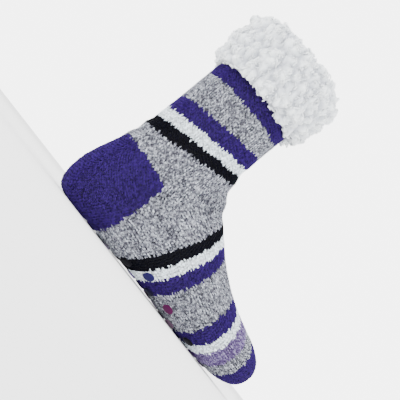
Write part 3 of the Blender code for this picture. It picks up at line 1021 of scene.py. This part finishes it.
def fleece_cuff():
    """The turned-down fleece: lumps, clumps and nubs in its surface, and loose tufts over it."""
    profile, length = cuff_profile(CUFF_ROUNDS)
    outline, outward = leg_frames(profile[:, 1], CUFF_SIDES)
    base = outline + outward * profile[:, :1, None]
    normal = cuff_normals(base)
    girth = np.linalg.norm(np.roll(base, -1, axis=1) - base, axis=2).sum(axis=1).mean()
    round_cut = np.arange(CUFF_ROUNDS) / CUFF_ROUNDS * length
    round_leg = np.arange(CUFF_SIDES) / CUFF_SIDES * girth
    v, u = np.meshgrid(round_cut, round_leg, indexing="ij")
    relief, crest = 0.0, 0.0
    for size_round, size_along, height, middle, share, seed in CUFF_RELIEF:
        bumps = cell_bumps(u, v, size_round, size_along, girth, seed)
        relief = relief + height * (bumps - middle)
        # the crest sets the painted shade: low between the clumps, high on them
        crest = crest + share * bumps
    free = np.interp(v[:, :1], *zip(*FREE_PILE))
    grid = base + normal * (free * relief)[..., None]
    faces = wrapped_quads(CUFF_ROUNDS + 1, CUFF_SIDES) % (CUFF_ROUNDS * CUFF_SIDES)
    skin = new_mesh("fleece_cuff", to_row(grid.reshape(-1, 3)), [faces])
    tag(skin, "crest", crest.reshape(-1))
    tufts = fleece_tufts(grid, normal, free, crest)
    shown = fleece_material("sherpa_fleece", CUFF_HOLLOW_SHADE)
    skin.data.materials.append(shown)
    tufts.data.materials.append(shown)
    return skin, tufts


def fleece_tufts(grid, normal, free, crest):
    """Soft bent locks lying down the fleece, wherever its pile is free."""
    sides = grid.shape[1]
    down_edge, round_edge = np.roll(grid, -1, axis=0) - grid, np.roll(grid, -1, axis=1) - grid
    areas = np.linalg.norm(np.cross(down_edge, round_edge), axis=2) * (free > 0.5)
    chance = np.cumsum(areas.reshape(-1))
    pick = np.searchsorted(chance, random.random(TUFTS) * chance[-1])
    i, j = pick // sides, pick % sides
    place, up = grid[i, j], normal[i, j]
    down = unit(down_edge[i, j])
    over = unit(np.cross(up, down))

    def spread(least, more):
        return least + more * random.random(TUFTS)

    turn = random.normal(0, TUFT_TURN, TUFTS)
    bend = random.choice((-1.0, 1.0), TUFTS) * spread(*TUFT_BEND)
    reach = spread(*TUFT_LENGTH)
    lift = spread(*TUFT_LIFT)
    thick = spread(*TUFT_RADIUS)
    stations = np.linspace(0, 1, TUFT_STATIONS)
    path = []
    for s in stations:
        angle = turn + bend * (s - 0.5)
        ahead = reach * (s - 0.5)
        bulge = reach * bend * 0.25 * math.cos(math.pi * (s - 0.5))
        height = lift * math.sin(math.pi * s) - TUFT_SINK - TUFT_ENDS_SINK * (2 * s - 1) ** 2
        path.append(
            place
            + down * (np.cos(angle) * ahead - np.sin(turn) * bulge)[:, None]
            + over * (np.sin(angle) * ahead + np.cos(turn) * bulge)[:, None]
            + up * height[:, None]
        )
    path = np.stack(path, axis=1)
    heading = unit(np.gradient(path, axis=1))
    side = unit(np.cross(heading, up[:, None]))
    rise = np.cross(side, heading)
    shapes = [path[:, :1]]
    for number in range(1, TUFT_STATIONS - 1):
        size = thick * (1 - TUFT_TAPER + TUFT_TAPER * math.sin(math.pi * stations[number]))
        size = size[:, None]
        shapes.append(spindle_ring(path[:, number], side[:, number] * size, rise[:, number] * size))
    shapes.append(path[:, -1:])
    points = np.concatenate(shapes, axis=1)
    faces = spindle_faces(TUFT_STATIONS - 2, TUFTS)
    piece = new_mesh("fleece_tufts", to_row(points.reshape(-1, 3)), faces)
    # painted light along the locks and painted shade at their ends, added to the crest below them
    painted_shading = np.full(points.shape[1], TUFT_PAINTED_LIGHT)
    painted_shading[[0, -1]] = TUFT_END_PAINTED_SHADE
    tag(piece, "crest", (crest[i, j][:, None] + painted_shading).reshape(-1))
    return piece


# The grip dots

def row_at_sole(x):
    """The row number whose section leaves the sole at this distance from the heel."""
    return bisect(0.0, float(len(FOOT_SECTIONS)), lambda t: section(t)[0] > x, 40)


def sole_points(x, across):
    """Points of the sole at these distances from the heel and arc lengths from its middle."""
    found = []
    for px, pa in zip(x, across):
        points, reach, sway = half_section(row_at_sole(px))
        place = points_at(abs(pa), reach, points)
        found.append((place[0], math.copysign(place[1], pa) + sway, place[2]))
    return np.array(found)


def grip_dot(number, x, across, tint):
    """One printed drop of silicone, domed, following the curve of the sole."""
    turn = 2 * math.pi * np.arange(GRIP_SIDES) / GRIP_SIDES
    (wide, twice), (slight, thrice) = GRIP_WOBBLE
    wobble = 1 + wide * np.sin(twice * turn + number) + slight * np.sin(thrice * turn + 2 * number)
    probe = 0.0005
    levels = []
    for share, lift in GRIP_RINGS:
        radius = GRIP_DIAMETER / 2 * share * wobble
        px, pa = x + radius * np.cos(turn), across + radius * np.sin(turn)
        along = sole_points(px + probe, pa) - sole_points(px - probe, pa)
        over = sole_points(px, pa + probe) - sole_points(px, pa - probe)
        normal = unit(np.cross(over, along))
        levels.append(sole_points(px, pa) + normal * (SEAT_GAP + lift * GRIP_THICKNESS))
    ends = [levels[0].mean(axis=0), levels[-1].mean(axis=0)]
    points = np.concatenate([*levels, ends])
    points[:, 2] = np.maximum(points[:, 2], 0.0)
    j = np.arange(GRIP_SIDES)
    k = (j + 1) % GRIP_SIDES
    crown = len(points) - 1
    last = (len(levels) - 1) * GRIP_SIDES
    quads = wrapped_quads(len(levels), GRIP_SIDES, flip=True)
    caps = np.concatenate([
        np.stack([j, k, np.full(GRIP_SIDES, crown - 1)], axis=1),
        np.stack([last + k, last + j, np.full(GRIP_SIDES, crown)], axis=1),
    ])
    piece = new_mesh(f"silicone_dot_{number:02d}", to_row(points), [quads, caps])
    piece.data.materials.append(bpy.data.materials[f"grip_{tint}"])
    return piece


def grip_dots():
    for tint, (colour, clear) in GRIP_TINTS.items():
        grip_material(f"grip_{tint}", colour, clear)
    places = [
        (GRIP_FIRST_ROW + row * GRIP_ROW_PITCH, (column - (count - 1) / 2) * GRIP_COLUMN_PITCH)
        for row, count in enumerate(GRIP_ROWS) for column in range(count)
    ]
    return [
        grip_dot(number, x, across, tint)
        for number, ((x, across), tint) in enumerate(zip(places, GRIP_COLOURS), start=1)
    ]


# Floor, light and camera

def floor():
    bpy.ops.mesh.primitive_plane_add(size=FLOOR_SIZE, location=(0, 0, 0))
    plane = bpy.context.object
    plane.name = "floor"
    made, shader = new_material("floor")
    set_sockets(shader, {"Base Color": FLOOR_COLOUR, "Roughness": 0.9})
    plane.data.materials.append(made)


def soft_box(name, place, size, power):
    """A square area light that faces the sock."""
    light = bpy.data.lights.new(name, "AREA")
    light.shape = "SQUARE"
    light.size = size
    light.energy = power
    lamp = bpy.data.objects.new(name, light)
    lamp.location = place
    lamp.rotation_euler = (AIM - lamp.location).to_track_quat("-Z", "Y").to_euler()
    bpy.context.scene.collection.objects.link(lamp)


def studio():
    """A bright white surround at eye level, dimmer overhead, with two soft lamps."""
    world = bpy.data.worlds.new("studio")
    world.use_nodes = True
    nodes, links = world.node_tree.nodes, world.node_tree.links
    direction = nodes.new("ShaderNodeTexCoord")
    parts = nodes.new("ShaderNodeSeparateXYZ")
    links.new(direction.outputs["Generated"], parts.inputs[0])
    spread = nodes.new("ShaderNodeMapRange")
    spread.interpolation_type = "SMOOTHSTEP"
    set_sockets(spread, {
        "From Min": SURROUND_TOP,
        "From Max": SURROUND_FADE,
        "To Min": SURROUND,
        "To Max": OVERHEAD,
    })
    links.new(parts.outputs["Z"], spread.inputs["Value"])
    shader = nodes["Background"]
    shader.inputs["Color"].default_value = (1.0, 1.0, 1.0, 1.0)
    links.new(spread.outputs["Result"], shader.inputs["Strength"])
    bpy.context.scene.world = world
    for lamp in LAMPS:
        soft_box(*lamp)


def camera():
    """From behind the right side, low over the floor, rolled as the photo is."""
    data = bpy.data.cameras.new("camera")
    data.lens = CAMERA_LENS
    data.clip_start = CAMERA_NEAR
    eye = bpy.data.objects.new("camera", data)
    away = Vector((math.sin(CAMERA_AZIMUTH), -math.cos(CAMERA_AZIMUTH), 0.0)) * CAMERA_DISTANCE
    place = Vector((AIM.x, AIM.y, CAMERA_HEIGHT)) + away
    look = (AIM - place).to_track_quat("-Z", "Y").to_matrix().to_4x4()
    eye.matrix_world = Matrix.Translation(place) @ look @ Matrix.Rotation(CAMERA_ROLL, 4, "Z")
    bpy.context.scene.collection.objects.link(eye)
    bpy.context.scene.camera = eye


def main():
    ground = knit_skin()
    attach(ground, "root")
    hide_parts("knit_sock")
    for piece in knit_stitches():
        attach(piece, "root")
        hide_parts("knit_sock")
    for piece in fleece_cuff():
        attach(piece, "root")
        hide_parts("sherpa_cuff")
    for number, piece in enumerate(grip_dots(), start=1):
        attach(piece, "root")
        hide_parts(f"grip_dot_{number:02d}")
    floor()
    studio()
    camera()


main()
